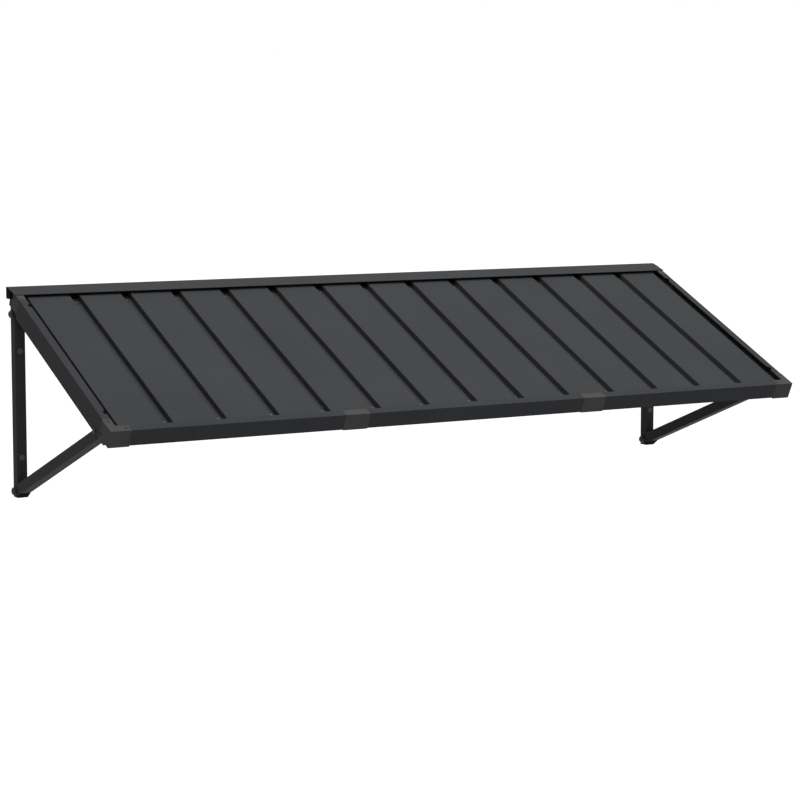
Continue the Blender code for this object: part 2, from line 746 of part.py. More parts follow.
# Front corners: L shaped mouldings. The lip and the front face are flush with the rails, the side
# face stands a little proud, and the floor under the rails' ledges is a thick block that is deeper
# along the side than at the front.
corner_side_bottom = SIDE_BOTTOM + CORNER_SIDE_LIFT
corner_front_bottom = FRONT_BOTTOM - CORNER_FRONT_DROP
step_s = FRONT_FACE - CORNER_STEP
corner_rear = SIDE_RAIL_FRONT + GAP
corner_side_profile = [
    (corner_rear, LIP_TOP),
    (FRONT_FACE, LIP_TOP),
    (FRONT_FACE, corner_front_bottom),
    (step_s + CORNER_STEP_RUN, corner_front_bottom),
    (step_s, corner_side_bottom),
    (corner_rear, corner_side_bottom),
]
corner_front_profile = box(box_back, FRONT_FACE, corner_front_bottom, LIP_TOP)
corner_opening = [
    (CORNER_IN - PAST, corner_rear - PAST),
    (LIP_EDGE, corner_rear - PAST),
    (LIP_EDGE, FRONT_LIP_EDGE - CORNER_CHAMFER),
    (LIP_EDGE - CORNER_CHAMFER, FRONT_LIP_EDGE),
    (CORNER_IN - PAST, FRONT_LIP_EDGE),
]
blade = box(SKIN_OUT + GAP, HALF - WALL - GAP, corner_side_bottom, FLOOR_TOP - GAP)
corner_slot = box(CORNER_IN - PAST, HALF - WALL, corner_rear - PAST, face_back)
corner_hole_low = FLOOR_TOP - CORNER_HOLE_DEPTH
pocket = box(HALF - POCKET_FAR, HALF - POCKET_NEAR, LIP_TOP - POCKET_BOTTOM, LIP_TOP - POCKET_TOP)
pin_s = SIDE_RAIL_FRONT + PIN_HOLE_ALONG
pin_hole = circle(pin_s, LIP_TOP - PIN_HOLE_DROP, PIN_HOLE_RADIUS, ROUND_SIDES)
for side_name, side in SIDES:
    corner_shape = sided(across(corner_side_profile, RAIL_IN, CORNER_OUT), side)
    corner = mesh_object("corner_front_" + side_name, corner_shape, roof_frame)
    frame_plastic(corner)
    fuse(corner, sided(across(corner_front_profile, CORNER_IN + GAP, HALF - CORNER_CHAMFER), side))
    cut(corner, sided(upright(corner_slot, FLOOR_TOP, LIP_UNDER), side))
    cut(corner, sided(upright(corner_opening, LIP_UNDER - GAP, LIP_TOP + PAST), side))
    fuse(corner, sided(across(box_tenon, CORNER_IN - BOX_TENON, CORNER_IN + BOX_TENON), side))
    fuse(corner, sided(along(blade, SIDE_RAIL_FRONT - BLADE_TENON, corner_rear + PAST), side))
    bosses = []
    for x, s in corner_screws:
        boss = circle(x, s, BOSS_RADIUS, ROUND_SIDES)
        bosses.append(upright(boss, LEDGE_TOP + GAP, LIP_UNDER + GAP))
    fuse(corner, sided(merged(bosses), side))
    holes = screw_holes(corner_screws, CORNER_BORE, corner_hole_low, LIP_TOP + PAST)
    cut(corner, sided(holes, side))
    cut(corner, sided(along(pocket, FRONT_FACE - POCKET_DEPTH, FRONT_FACE + PAST), side))
    cut(corner, sided(across(pin_hole, CORNER_OUT - PIN_HOLE_DEPTH, CORNER_OUT + PAST), side))

# Screws of the front corners: flat round heads on the lip, down through the boss into the ledge.
for side_name, side in SIDES:
    for place_name, (x, s) in zip(("side", "front"), corner_screws):
        screw_rings = [
            (CORNER_SCREW_RADIUS, LEDGE_UNDER - GAP, False),
            (CORNER_SCREW_RADIUS, LIP_TOP + GAP, False),
            (CORNER_SCREW_HEAD_RADIUS, LIP_TOP + GAP, False),
            (CORNER_SCREW_HEAD_RADIUS, LIP_TOP + GAP + CORNER_SCREW_HEAD / 2, False),
            (CORNER_SCREW_CROWN_RADIUS, LIP_TOP + GAP + CORNER_SCREW_HEAD, False),
        ]
        screw_shape = stack(screw_rings, lambda a, b, h: (x + a, b - s, h), ROUND_SIDES, False)
        screw_name = f"corner_screw_{place_name}_{side_name}"
        screw = mesh_object(screw_name, sided(screw_shape, side), roof_frame)
        coated_steel(screw)
        smooth(screw)

# Rear corners: a moulding under the wall rail's cover, with an arm flush with the side rail, a
# tenon in the rail's channel and a stub and tongue that stand on and in the post.
rear_end = SIDE_RAIL_REAR - GAP
rear_bottom = LIP_TOP - REAR_CORNER_DROP
rail_under = wall_foot - GAP
cap_clear = CAP_DEPTH + GAP
under_cover = below_cover(WALL + GAP)
lip_line = (from_roof(0, LIP_TOP), from_roof(1, LIP_TOP))
back_line = (from_roof(REAR_CORNER_BACK, 0), from_roof(REAR_CORNER_BACK, 1))
rear_outline = [
    (REAR_CORNER_BACK, rear_bottom),
    to_roof(*crossing(*back_line, (0, rail_under), (1, rail_under))),
    to_roof(cap_clear, rail_under),
    to_roof(*crossing(*under_cover, (cap_clear, 0), (cap_clear, 1))),
    to_roof(*crossing(*under_cover, *lip_line)),
    (rear_end, LIP_TOP),
    (rear_end, rear_bottom),
]
stub_outline = box(GAP, POST_DEPTH, -POST_TOP + GAP, roof_at_out(rear_bottom, 0)[1])
slot_start = PANEL_REAR - PAST
rear_slot = box(slot_start, SIDE_RAIL_REAR + REAR_TENON, FLOOR_TOP, LIP_UNDER)
rear_tenon = box(rear_end - PAST, SIDE_RAIL_REAR + REAR_TENON, rear_bottom, FLOOR_TOP)
tongue_in = TUBE_WALL + GAP
for side_name, side in SIDES:
    rear_shape = sided(across(rear_outline, RAIL_IN, HALF), side)
    corner = mesh_object("corner_rear_" + side_name, rear_shape, roof_frame)
    frame_plastic(corner)
    cut(corner, sided(across(rear_slot, RAIL_IN - PAST, HALF - WALL), side))
    rear_opening = box(slot_start, SIDE_RAIL_REAR, LIP_UNDER - GAP, LIP_TOP + PAST)
    cut(corner, sided(across(rear_opening, RAIL_IN - PAST, LIP_EDGE), side))
    fuse(corner, sided(across(stub_outline, TUBE_IN, TUBE_OUT), side), wall_frame)
    tongue = box(tongue_in, POST_DEPTH - tongue_in, -POST_TOP - POST_TONGUE, -POST_TOP + PAST)
    fuse(corner, sided(across(tongue, TUBE_IN + tongue_in, TUBE_OUT - tongue_in), side), wall_frame)
    fuse(corner, sided(across(rear_tenon, RAIL_IN + WALL + GAP, SKIN_IN - GAP), side))
    bolt_hole = circle(BOLT_OUT, -POST_TOP - POST_BOLT_DROP, BORE, ROUND_SIDES)
    cut(corner, sided(across(bolt_hole, TUBE_IN, TUBE_OUT), side), wall_frame)

# Posts: closed tubes flat on the wall. The front wall is cut away at the bottom, where the strut's
# foot comes out, and has two plugged holes in line with the holes for the wall fixings.
plug_heights = (-POST_TOP - PLUG_INSET, POST_BOTTOM + PLUG_INSET)
strut_top_line = (from_strut(0, STRUT_DEPTH / 2), from_strut(1, STRUT_DEPTH / 2))
post_front_line = ((POST_DEPTH + GAP, 0), (POST_DEPTH + GAP, 1))
mouth_top = crossing(*strut_top_line, *post_front_line)[1]
for side_name, side in SIDES:
    post_shape = upright(box(TUBE_IN, TUBE_OUT, 0, POST_DEPTH), POST_BOTTOM, -POST_TOP)
    post = mesh_object("post_" + side_name, sided(post_shape, side), wall_frame)
    powder_coat(post)
    hollow = box(TUBE_IN + TUBE_WALL, TUBE_OUT - TUBE_WALL, TUBE_WALL, POST_DEPTH - TUBE_WALL)
    cut(post, sided(upright(hollow, POST_BOTTOM - PAST, -POST_TOP + PAST), side), wall_frame)
    mouth = box(BOLT_OUT, POST_DEPTH + PAST, POST_BOTTOM - PAST, mouth_top)
    cut(post, sided(across(mouth, TUBE_IN + TUBE_WALL, TUBE_OUT - TUBE_WALL), side), wall_frame)
    plug_holes = []
    fixing_holes = []
    for up in plug_heights:
        hole = circle(TUBE_MIDDLE, up, PLUG_STEM_RADIUS + GAP, LARGE_ROUND_SIDES)
        plug_holes.append(along(hole, BOLT_OUT, POST_DEPTH + PAST))
        hole = circle(TUBE_MIDDLE, up, FIXING_HOLE_RADIUS, ROUND_SIDES)
        fixing_holes.append(along(hole, -PAST, BOLT_OUT / 2))
    cut(post, sided(merged(plug_holes + fixing_holes), side), wall_frame)
    bolt_holes = []
    for up in (-POST_TOP - POST_BOLT_DROP, -FOOT_BOLT_DOWN):
        hole = circle(BOLT_OUT, up, BORE, ROUND_SIDES)
        bolt_holes.append(across(hole, TUBE_IN - PAST, TUBE_OUT + PAST))
    cut(post, sided(merged(bolt_holes), side), wall_frame)

# Plugs in the posts' front walls: a thin round head and a short stem.
for side_name, side in SIDES:
    for place_name, up in zip(("upper", "lower"), plug_heights):
        seat = POST_DEPTH + GAP
        plug_rings = [
            (PLUG_STEM_RADIUS, seat - TUBE_WALL - PLUG_STEM, False),
            (PLUG_STEM_RADIUS, seat, False),
            (PLUG_RADIUS, seat, False),
            (PLUG_RADIUS, seat + PLUG_FLANGE / 2, False),
            (PLUG_RADIUS - PLUG_FLANGE, seat + PLUG_FLANGE, False),
        ]
        plug_place = lambda a, b, out: (TUBE_MIDDLE + a, -out, up + b)
        plug_shape = sided(stack(plug_rings, plug_place, LARGE_ROUND_SIDES, False), side)
        plug = mesh_object(f"post_plug_{place_name}_{side_name}", plug_shape, wall_frame)
        frame_plastic(plug)
        smooth(plug)

# Struts: tubes cut to butt on the posts' front. The top end stands in the side rail's channel and
# is cut to the channel's top and square to the roof.
strut_half = STRUT_DEPTH / 2
tip_n = LEDGE_UNDER - STRUT_TIP_CLEAR
tip_s = SIDE_RAIL_FRONT - STRUT_TIP_SHORT
upper_edge = ((0, strut_half), (1, strut_half))
lower_edge = ((0, -strut_half), (1, -strut_half))
butt_line = [to_strut(*point) for point in post_front_line]
tip_top = (to_strut(*from_roof(0, tip_n)), to_strut(*from_roof(1, tip_n)))
tip_end = (to_strut(*from_roof(tip_s, 0)), to_strut(*from_roof(tip_s, 1)))
strut_outline = [
    crossing(*lower_edge, *butt_line),
    crossing(*upper_edge, *butt_line),
    crossing(*upper_edge, *tip_top),
    crossing(*tip_top, *tip_end),
    crossing(*lower_edge, *tip_end),
]
strut_past = crossing(*tip_top, *tip_end)[0] + STRUT_DEPTH
strut_hollow = box(0, strut_past, TUBE_WALL - strut_half, strut_half - TUBE_WALL)
rail_bolt_uv = to_strut(*from_roof(*RAIL_BOLT))
for side_name, side in SIDES:
    strut_shape = sided(across(strut_outline, TUBE_IN, TUBE_OUT), side)
    strut = mesh_object("strut_" + side_name, strut_shape, strut_frame)
    powder_coat(strut)
    bore_shape = across(strut_hollow, TUBE_IN + TUBE_WALL, TUBE_OUT - TUBE_WALL)
    cut(strut, sided(bore_shape, side), strut_frame)
    bolt_hole = across(circle(*rail_bolt_uv, BORE, ROUND_SIDES), TUBE_IN - PAST, TUBE_OUT + PAST)
    cut(strut, sided(bolt_hole, side), strut_frame)

# Strut feet: a hub bolted between the post's side walls, a tenon in the strut, a sole under the
# post and a wedge in front of it, whose toe the strut's lower face rests on.
sole_bottom = POST_BOTTOM - GAP - FOOT_SOLE
sole_front = POST_DEPTH + FOOT_SOLE_PAST_POST
under_strut = (from_strut(0, -strut_half - GAP), from_strut(1, -strut_half - GAP))
toe_out = POST_DEPTH + FOOT_TOE_REACH
toe_up = crossing(*under_strut, (toe_out, 0), (toe_out, 1))[1]
wedge_outline = [
    (POST_DEPTH + GAP, sole_bottom),
    (sole_front, sole_bottom),
    (toe_out, toe_up - FOOT_TOE),
    (toe_out, toe_up),
    crossing(*under_strut, *post_front_line),
]
sole_outline = box(GAP, sole_front, sole_bottom, POST_BOTTOM - GAP)
hub_outline = box(tongue_in, POST_DEPTH, sole_bottom + FOOT_SOLE / 2, mouth_top - 2 * GAP)
tenon_half = strut_half - tongue_in
tenon_outline = box(0, FOOT_TENON + BOLT_OUT, -tenon_half, tenon_half)
for side_name, side in SIDES:
    foot_shape = sided(across(wedge_outline, TUBE_IN, TUBE_OUT), side)
    foot = mesh_object("strut_foot_" + side_name, foot_shape, wall_frame)
    black_plastic(foot)
    fuse(foot, sided(across(hub_outline, TUBE_IN + tongue_in, TUBE_OUT - tongue_in), side), wall_frame)
    fuse(foot, sided(across(sole_outline, TUBE_IN, TUBE_OUT), side), wall_frame)
    tenon = across(tenon_outline, TUBE_IN + tongue_in, TUBE_OUT - tongue_in)
    fuse(foot, sided(tenon, side), strut_frame)
    bolt_hole = across(circle(BOLT_OUT, -FOOT_BOLT_DOWN, BORE, ROUND_SIDES), TUBE_IN, TUBE_OUT)
    cut(foot, sided(bolt_hole, side), wall_frame)


def dome(radius, shoulder, top):
    """Rings of a round head: a short upright rim with a dome on it."""
    rings = [(radius, 0, False), (radius, shoulder, False)]
    for i in range(1, DOME_STEPS + 1):
        rise = DOME_END * i / DOME_STEPS
        lift = (top - shoulder) * math.sin(rise) / math.sin(DOME_END)
        rings.append((radius * math.cos(rise), shoulder + lift, False))
    return rings


def fastener(name, frame, side, centre, rings, closed):
    """A bolt, washer or nut of rings along X on the bolt line through centre."""
    out, up = centre
    place = lambda a, b, x: (x, -out + a, up + b)
    shape = stack(rings, place, LARGE_ROUND_SIDES, closed)
    obj = mesh_object(name, sided(shape, side), frame)
    coated_steel(obj)
    smooth(obj)


def bolt(name, frame, side, centre, x_end, seat, head):
    """A bolt that runs out from x_end to its head, whose rings start at seat."""
    rings = [(BOLT_RADIUS, x_end, False), (BOLT_RADIUS, seat, False)]
    rings += [(radius, seat + height, flats) for radius, height, flats in head]
    fastener(name, frame, side, centre, rings, False)


def washer(name, frame, side, centre, seat, radius):
    """A washer whose inner face is at seat."""
    far = seat + WASHER
    rings = [(BORE, seat, False), (radius, seat, False), (radius, far, False), (BORE, far, False)]
    fastener(name, frame, side, centre, rings, True)


def flange_nut(name, frame, side, centre, seat):
    """A hexagon nut with a round flange, which bears on a face at seat from the inner side."""
    rings = [
        (BORE, seat, False),
        (FLANGE_RADIUS, seat, False),
        (FLANGE_RADIUS, seat - FLANGE, False),
        (HEXAGON_RADIUS, seat - FLANGE, True),
        (HEXAGON_RADIUS, seat - NUT_TOP, True),
        (BORE, seat - NUT_TOP, False),
    ]
    fastener(name, frame, side, centre, rings, True)


def cap_nut(name, frame, side, centre, seat):
    """A domed nut with a blind bore, which bears on a face at seat from the inner side."""
    rings = [(BORE, seat - CAP_NUT_BORE, False), (BORE, seat, False)]
    knob = dome(KNOB_RADIUS, KNOB_SHOULDER, CAP_NUT_TOP)
    rings += [(radius, seat - height, flats) for radius, height, flats in knob]
    fastener(name, frame, side, centre, rings, False)


# Bolts, washers and nuts. The foot and post bolts have large domed heads, and end in domed nuts.
# The rail bolt has a small button head, and runs through a flange nut inside the canopy.
foot_centre = (BOLT_OUT, -FOOT_BOLT_DOWN)
post_centre = (BOLT_OUT, -POST_TOP - POST_BOLT_DROP)
foot_head = dome(KNOB_RADIUS, KNOB_SHOULDER, FOOT_KNOB_TOP)
post_head = dome(KNOB_RADIUS, KNOB_SHOULDER, POST_KNOB_TOP)
rail_head = dome(BUTTON_RADIUS, BUTTON_SHOULDER, BUTTON_TOP)
washer_seat = GAP + WASHER + GAP
for side_name, side in SIDES:
    nut_seat = TUBE_IN - GAP
    bolt_end = nut_seat - CAP_NUT_BORE + BOLT_SHORT_OF_BORE
    seat = TUBE_OUT + GAP
    head_seat = TUBE_OUT + washer_seat
    bolt("foot_bolt_" + side_name, wall_frame, side, foot_centre, bolt_end, head_seat, foot_head)
    washer("foot_washer_" + side_name, wall_frame, side, foot_centre, seat, FOOT_WASHER_RADIUS)
    cap_nut("foot_nut_" + side_name, wall_frame, side, foot_centre, nut_seat)
    bolt("post_bolt_" + side_name, wall_frame, side, post_centre, bolt_end, seat, post_head)
    cap_nut("post_nut_" + side_name, wall_frame, side, post_centre, nut_seat)
    nut_seat = RAIL_IN - GAP
    bolt_end = nut_seat - NUT_TOP - BOLT_PAST_NUT
    head_seat = HALF + washer_seat
    bolt("rail_bolt_" + side_name, roof_frame, side, RAIL_BOLT, bolt_end, head_seat, rail_head)
    washer("rail_washer_" + side_name, roof_frame, side, RAIL_BOLT, HALF + GAP, RAIL_WASHER_RADIUS)
    flange_nut("rail_nut_" + side_name, roof_frame, side, RAIL_BOLT, nut_seat)
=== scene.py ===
"""The looks of the metal door canopy: finishes, fasteners, floor, lamp and camera."""

import math

import bmesh
import bpy
from mathutils import Matrix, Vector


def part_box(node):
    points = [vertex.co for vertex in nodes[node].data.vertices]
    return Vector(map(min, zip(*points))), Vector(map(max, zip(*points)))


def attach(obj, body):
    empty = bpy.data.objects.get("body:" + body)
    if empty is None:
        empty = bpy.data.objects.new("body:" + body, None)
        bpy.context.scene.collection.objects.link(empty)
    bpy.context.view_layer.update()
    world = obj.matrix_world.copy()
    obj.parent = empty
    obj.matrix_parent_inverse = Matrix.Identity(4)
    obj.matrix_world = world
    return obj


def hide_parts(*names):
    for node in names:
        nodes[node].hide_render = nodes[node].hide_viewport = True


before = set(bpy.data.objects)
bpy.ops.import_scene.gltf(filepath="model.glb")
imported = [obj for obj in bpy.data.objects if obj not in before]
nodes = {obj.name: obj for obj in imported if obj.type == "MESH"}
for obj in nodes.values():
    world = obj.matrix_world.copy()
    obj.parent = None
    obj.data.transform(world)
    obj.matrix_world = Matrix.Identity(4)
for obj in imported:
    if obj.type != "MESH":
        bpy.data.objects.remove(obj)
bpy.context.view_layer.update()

# Wall rail: one long aluminium extrusion that is screwed to the wall. Its cover slopes over the
# rear ends of the roof panels and throws the rain past them. It is powder coated after cutting.
FRAME_GREY = "#47484A"
EXTRUSION_EDGE = 0.0005

# Orange peel has dimples 2 to 3 mm apart, and a spray gun's strokes shade it over some 350 mm.
COAT_PEEL = 0.0024
COAT_PEEL_HEIGHT = 0.00003
COAT_PEEL_STRENGTH = 0.6
COAT_MOTTLE = 0.35
COAT_MOTTLE_SHARE = 0.05
COAT_ROUGHNESS = 0.6
COAT_GLOSS_SPREAD = 0.04
COAT_SHINE = 0.02

# Nearly all of a noise's values lie between these two.
NOISE_LOW = 0.3
NOISE_HIGH = 0.7

# Corners nearer than this are one, faces flatter than this are one, and sharper edges are eased.
WELD_REACH = 0.000002
FLAT_ANGLE = math.radians(0.3)
SHARP_ANGLE = math.radians(32)


def linear(colour):
    """An sRGB hex colour as linear red, green, blue and alpha."""
    levels = [int(colour[i:i + 2], 16) / 255 for i in (1, 3, 5)]
    return (*[v / 12.92 if v <= 0.04045 else ((v + 0.055) / 1.055) ** 2.4 for v in levels], 1.0)


def add(tree, kind, sockets, **settings):
    """Adds a node with its settings, and sets or links its sockets."""
    made = tree.nodes.new(kind)
    for name, value in settings.items():
        setattr(made, name, value)
    for socket, value in sockets.items():
        if isinstance(value, bpy.types.NodeSocket):
            tree.links.new(value, made.inputs[socket])
        else:
            made.inputs[socket].default_value = value
    return made


def blank(name):
    """A material with nothing in it, and the place on the object in metres."""
    material = bpy.data.materials.new(name)
    material.use_nodes = True
    tree = material.node_tree
    tree.nodes.clear()
    place = add(tree, "ShaderNodeTexCoord", {}).outputs["Object"]
    return material, tree, place


def powder_coat(name, colour):
    """Matt polyester powder, sprayed on aluminium and baked.

    It flows out to a fine orange peel, which softens its dull shine, and its shade varies a
    little with the coat's thickness.
    """
    material, tree, place = blank(name)
    mottle = add(tree, "ShaderNodeTexNoise", {"Vector": place, "Scale": 1 / COAT_MOTTLE, "Detail": 3.0})
    shade = add(tree, "ShaderNodeMapRange", {
        "Value": mottle.outputs["Fac"], "From Min": NOISE_LOW, "From Max": NOISE_HIGH,
        "To Min": 1 - COAT_MOTTLE_SHARE, "To Max": 1 + COAT_MOTTLE_SHARE})
    tone = add(tree, "ShaderNodeVectorMath", {
        0: linear(colour)[:3], "Scale": shade.outputs["Result"]}, operation="SCALE")
    peel = add(tree, "ShaderNodeTexNoise", {
        "Vector": place, "Scale": 1 / COAT_PEEL, "Detail": 2.0, "Roughness": 0.4})
    gloss = add(tree, "ShaderNodeMapRange", {
        "Value": peel.outputs["Fac"], "From Min": NOISE_LOW, "From Max": NOISE_HIGH,
        "To Min": COAT_ROUGHNESS - COAT_GLOSS_SPREAD, "To Max": COAT_ROUGHNESS + COAT_GLOSS_SPREAD})
    bump = add(tree, "ShaderNodeBump", {
        "Height": peel.outputs["Fac"], "Distance": COAT_PEEL_HEIGHT, "Strength": COAT_PEEL_STRENGTH})
    shader = add(tree, "ShaderNodeBsdfPrincipled", {
        "Base Color": tone.outputs["Vector"], "Roughness": gloss.outputs["Result"],
        "Specular IOR Level": COAT_SHINE, "Normal": bump.outputs["Normal"]})
    add(tree, "ShaderNodeOutputMaterial", {"Surface": shader.outputs[0]})
    return material


def dress(names, material, width, steps):
    """Gives CAD nodes their finish, joins their triangles into whole faces and eases their edges."""
    for name in names:
        node = nodes[name]
        node.data.materials.clear()
        node.data.materials.append(material)
        joined = node.modifiers.new("joined corners", "WELD")
        joined.merge_threshold = WELD_REACH
        whole = node.modifiers.new("whole faces", "DECIMATE")
        whole.decimate_type = "DISSOLVE"
        whole.angle_limit = FLAT_ANGLE
        round_edges = node.modifiers.new("eased edges", "BEVEL")
        round_edges.width = width
        round_edges.segments = steps
        round_edges.limit_method = "ANGLE"
        round_edges.angle_limit = SHARP_ANGLE


extrusion_coat = powder_coat("powder_coated_extrusion", FRAME_GREY)
dress(["wall_rail"], extrusion_coat, EXTRUSION_EDGE, steps=2)

# End caps of the wall rail: black nylon mouldings pressed on the ends of the extrusion. They keep
# the fine grain of the mould. Their near-black, with almost no shine, is partly painted shade: it
# stands in for the dark hollow under the cover at the rail's ends.
CAP_BLACK_AND_SHADE = "#161617"
CAP_EDGE = 0.0004

# The grain is really about 0.2 mm, and is drawn at 1.1 mm to show from near by. The nylon clouds
# over some 60 mm, as it flows in the mould.
MOULD_GRAIN = 0.0011
MOULD_GRAIN_HEIGHT = 0.00004
MOULD_GRAIN_STRENGTH = 0.7
MOULD_CLOUD = 0.06
MOULD_CLOUD_SHARE = 0.07

# The two ends of the canopy, and the way out from each along X.
SIDES = {"left": -1, "right": 1}


def moulded(name, colour, roughness, shine):
    """Glass filled nylon, moulded in a spark eroded tool, which leaves an even matt grain."""
    material, tree, place = blank(name)
    cloud = add(tree, "ShaderNodeTexNoise", {"Vector": place, "Scale": 1 / MOULD_CLOUD, "Detail": 4.0})
    shade = add(tree, "ShaderNodeMapRange", {
        "Value": cloud.outputs["Fac"], "From Min": NOISE_LOW, "From Max": NOISE_HIGH,
        "To Min": 1 - MOULD_CLOUD_SHARE, "To Max": 1 + MOULD_CLOUD_SHARE})
    tone = add(tree, "ShaderNodeVectorMath", {
        0: linear(colour)[:3], "Scale": shade.outputs["Result"]}, operation="SCALE")
    grain = add(tree, "ShaderNodeTexVoronoi", {
        "Vector": place, "Scale": 1 / MOULD_GRAIN}, feature="SMOOTH_F1")
    bump = add(tree, "ShaderNodeBump", {
        "Height": grain.outputs["Distance"], "Distance": MOULD_GRAIN_HEIGHT,
        "Strength": MOULD_GRAIN_STRENGTH})
    shader = add(tree, "ShaderNodeBsdfPrincipled", {
        "Base Color": tone.outputs["Vector"], "Roughness": roughness,
        "Specular IOR Level": shine, "Normal": bump.outputs["Normal"]})
    add(tree, "ShaderNodeOutputMaterial", {"Surface": shader.outputs[0]})
    return material


cap_nylon_and_shade = moulded("black_nylon_and_shade_moulding", CAP_BLACK_AND_SHADE, roughness=0.5, shine=0.004)
dress([f"wall_rail_cap_{side}" for side in SIDES], cap_nylon_and_shade, CAP_EDGE, steps=1)

# Roof panels: aluminium sheet folded into a pan with a flange on each side, powder coated before
# it is folded. Neighbours lap in the grooves, where screws with washers hold them to the frame.
SHEET_GREY = "#4A4B4D"
PANEL_COUNT = 14
SHEET_EDGE = 0.0002

sheet_coat = powder_coat("powder_coated_sheet", SHEET_GREY)
dress([f"roof_panel_{i + 1:02d}" for i in range(PANEL_COUNT)], sheet_coat, SHEET_EDGE, steps=1)

# Panel screws: painted steel drilling screws with a hexagon head on a washer, which presses a ring
# of black rubber on the flanges. They stand over the plain screws of the solids.
WIDTH = 3.0
ROOF_SLOPE = math.radians(24.745)
ROOF_LINE = 0.0195
EDGE_SCREW_INSET = 0.02813
FLANGE_TOP = -0.0215
EDGE_FLANGE_TOP = -0.0228
INNER_ROWS = (0.110, 0.9935)
EDGE_ROWS = (0.168, 0.945)
ROUND_SIDES = 48
SCREW_GREY = "#6A6B6D"
RUBBER_BLACK = "#161616"

# From the flange up: the ring, the washer pressed in it, the collar and the hexagon.
PAD_RADIUS = 0.0080
PAD_FOOT = 0.00005
PAD_TOP = 0.0006
PAD_EASE_IN = 0.0003
PAD_EASE_DOWN = 0.0002
WASHER_RADIUS = 0.0068
WASHER_FOOT = 0.0003
WASHER_TOP = 0.0017
WASHER_EASE = 0.0003
COLLAR_REACH = 0.0004
COLLAR_FOOT = WASHER_TOP + 0.0002
COLLAR_TOP = WASHER_TOP + 0.0005
SCREW_HEXAGON = 0.0054
SCREW_HEXAGON_FOOT = WASHER_TOP + 0.0006
SCREW_TOP = 0.0058
SCREW_CHAMFER = 0.0006
SCREW_FLAT_SHARE = 0.83
HEAD_CROWN = 0.0001

# The grain of such a skin is really under 0.1 mm. It is drawn at 0.6 mm, to show as uneven gloss.
SKIN_GRAIN = 0.0006
SKIN_GRAIN_HEIGHT = 0.00001
SKIN_GRAIN_STRENGTH = 0.5
SKIN_GLOSS_SPREAD = 0.08
SKIN_SHINE = 0.2

roof_place = Matrix.Translation((0, 0, ROOF_LINE)) @ Matrix.Rotation(ROOF_SLOPE, 4, "X")


def thin_skin(name, colour, metallic, roughness):
    """A dull skin with a fine grain: paint or baked zinc flake on steel, or moulded rubber.

    Zinc flake lets a little of the metal's shine through, and rubber none.
    """
    material, tree, place = blank(name)
    grain = add(tree, "ShaderNodeTexNoise", {"Vector": place, "Scale": 1 / SKIN_GRAIN, "Detail": 2.0})
    gloss = add(tree, "ShaderNodeMapRange", {
        "Value": grain.outputs["Fac"], "From Min": NOISE_LOW, "From Max": NOISE_HIGH,
        "To Min": roughness - SKIN_GLOSS_SPREAD, "To Max": roughness + SKIN_GLOSS_SPREAD})
    bump = add(tree, "ShaderNodeBump", {
        "Height": grain.outputs["Fac"], "Distance": SKIN_GRAIN_HEIGHT, "Strength": SKIN_GRAIN_STRENGTH})
    shader = add(tree, "ShaderNodeBsdfPrincipled", {
        "Base Color": linear(colour), "Metallic": metallic, "Roughness": gloss.outputs["Result"],
        "Specular IOR Level": SKIN_SHINE, "Normal": bump.outputs["Normal"]})
    add(tree, "ShaderNodeOutputMaterial", {"Surface": shader.outputs[0]})
    return material


def hexagon(corner, height, chamfer=0.0):
    """A row of a hexagon, which is lower by the chamfer at its corners."""
    half_flat = math.pi / 6
    nearest = math.cos(half_flat)

    def row(turn):
        off_middle = (turn + half_flat) % (2 * half_flat) - half_flat
        pull = nearest / math.cos(off_middle)
        lowered = (pull - nearest) / (1 - nearest)
        return corner * pull, height - chamfer * lowered
    return row


def turned(rows, bored=False):
    """A mesh of rows round the Z axis, each a (radius, height) or a function of the angle.

    A bored one runs from its last row back to its first.
    """
    mesh = bmesh.new()
    loops = []
    for row in rows:
        loop = []
        for i in range(ROUND_SIDES):
            turn = 2 * math.pi * i / ROUND_SIDES
            radius, height = row(turn) if callable(row) else row
            loop.append(mesh.verts.new((radius * math.cos(turn), radius * math.sin(turn), height)))
        loops.append(loop)
    pairs = list(zip(loops, loops[1:]))
    if bored:
        pairs.append((loops[-1], loops[0]))
    else:
        mesh.faces.new(loops[0])
        mesh.faces.new(loops[-1])
    for low, high in pairs:
        for i in range(ROUND_SIDES):
            j = (i + 1) % ROUND_SIDES
            mesh.faces.new((low[i], low[j], high[j], high[i]))
    bmesh.ops.recalc_face_normals(mesh, faces=mesh.faces)
    made = bpy.data.meshes.new("turned")
    mesh.to_mesh(made)
    mesh.free()
    return made


def fitted(name, mesh, places, material):
    """One piece of the same mesh at each place, which rides with the canopy."""
    joined = bmesh.new()
    for place in places:
        first = len(joined.verts)
        joined.from_mesh(mesh)
        joined.verts.ensure_lookup_table()
        bmesh.ops.transform(joined, matrix=place, verts=joined.verts[first:])
    whole = bpy.data.meshes.new(name)
    joined.to_mesh(whole)
    joined.free()
    whole.shade_smooth()
    whole.set_sharp_from_angle(angle=SHARP_ANGLE)
    whole.materials.append(material)
    piece = bpy.data.objects.new(name, whole)
    bpy.context.scene.collection.objects.link(piece)
    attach(piece, "root")
    return piece


